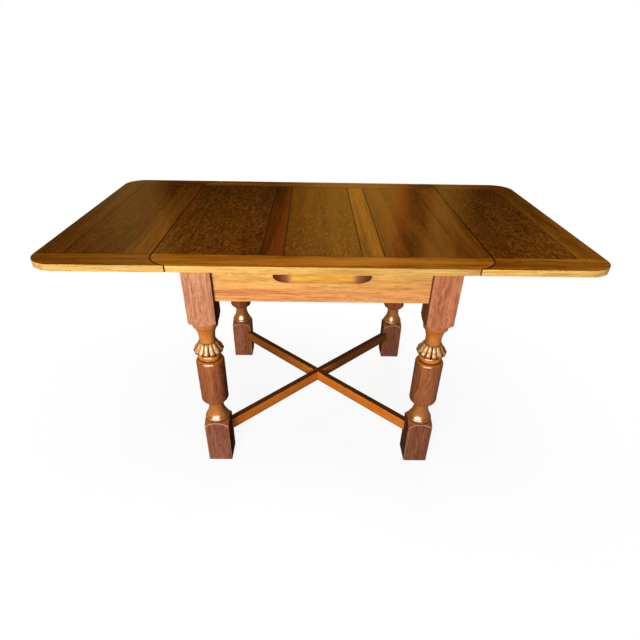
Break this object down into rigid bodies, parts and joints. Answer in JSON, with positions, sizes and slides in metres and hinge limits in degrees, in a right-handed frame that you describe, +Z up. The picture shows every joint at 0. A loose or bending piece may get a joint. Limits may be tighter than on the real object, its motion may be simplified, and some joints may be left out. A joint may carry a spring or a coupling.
{
  "type": "draw-leaf dining table",
  "caption": "Oak draw-leaf dining table with panelled top, leaves drawn out, bulb-turned legs, diagonal stretchers and a frieze drawer with a finger scoop.",
  "frame": {"origin": "on the floor under the middle of the table", "axes": "+X along the table towards the right leaf, -Y towards the drawer front, +Z up"},
  "size_m": [1.534, 0.866, 0.762],
  "materials": {
    "oak_top_panel": "dark varnished quarter-sawn oak, glossy",
    "oak_top_frame": "golden-brown varnished oak, glossy",
    "oak_leg": "red-brown varnished oak, satin",
    "oak_apron": "golden-orange varnished oak, satin",
    "oak_stretcher": "orange-brown varnished oak, satin",
    "oak_inner": "bare oak, matt",
    "screw_steel": "dull steel"
  },
  "bodies": {
    "frame": {"apron_back": "oak_apron", "apron_left": "oak_apron", "apron_right": "oak_apron", "centre_board": "oak_inner", "centre_board_screws": "screw_steel", "drawer_bearer_left": "oak_inner", "drawer_bearer_right": "oak_inner", "drawer_guide_left": "oak_inner", "drawer_guide_right": "oak_inner", "drawer_kicker_left": "oak_inner", "drawer_kicker_right": "oak_inner", "leg_back_left": "oak_leg", "leg_back_right": "oak_leg", "leg_front_left": "oak_leg", "leg_front_right": "oak_leg", "rail_front_bottom": "oak_inner", "rail_front_top": "oak_inner", "runner_fences": "oak_inner", "stretcher_over": "oak_stretcher", "stretcher_under": "oak_stretcher"},
    "top": {"guide_pegs": "oak_inner", "top_muntin_left": "oak_top_frame", "top_muntin_right": "oak_top_frame", "top_panel_centre": "oak_top_panel", "top_panel_left": "oak_top_panel", "top_panel_right": "oak_top_panel", "top_rail_back": "oak_top_frame", "top_rail_front": "oak_top_frame", "top_stile_left": "oak_top_frame", "top_stile_right": "oak_top_frame"},
    "leaf_left": {"leaf_left_panel": "oak_top_panel", "leaf_left_rail_back": "oak_top_frame", "leaf_left_rail_front": "oak_top_frame", "leaf_left_runner_back": "oak_inner", "leaf_left_runner_front": "oak_inner", "leaf_left_screws": "screw_steel", "leaf_left_stile_inner": "oak_top_frame", "leaf_left_stile_outer": "oak_top_frame", "leaf_left_stops": "oak_inner"},
    "leaf_right": {"leaf_right_panel": "oak_top_panel", "leaf_right_rail_back": "oak_top_frame", "leaf_right_rail_front": "oak_top_frame", "leaf_right_runner_back": "oak_inner", "leaf_right_runner_front": "oak_inner", "leaf_right_screws": "screw_steel", "leaf_right_stile_inner": "oak_top_frame", "leaf_right_stile_outer": "oak_top_frame", "leaf_right_stops": "oak_inner"},
    "drawer": {"drawer_back": "oak_inner", "drawer_bottom": "oak_inner", "drawer_front": "oak_apron", "drawer_side_left": "oak_inner", "drawer_side_right": "oak_inner"}
  },
  "joints": [
    {"name": "top_lift", "type": "slide", "parent": "frame", "child": "top", "axis": [0, 0, 1], "range_m": [0, 0.035]},
    {"name": "leaf_left_draw", "type": "slide", "parent": "frame", "child": "leaf_left", "axis": [-0.9983, 0, 0.058], "range_m": [0, 0.006]},
    {"name": "leaf_right_draw", "type": "slide", "parent": "frame", "child": "leaf_right", "axis": [0.9983, 0, 0.058], "range_m": [0, 0.006]},
    {"name": "drawer_slide", "type": "slide", "parent": "frame", "child": "drawer", "axis": [0, -1, 0], "range_m": [0, 0.3]}
  ]
}
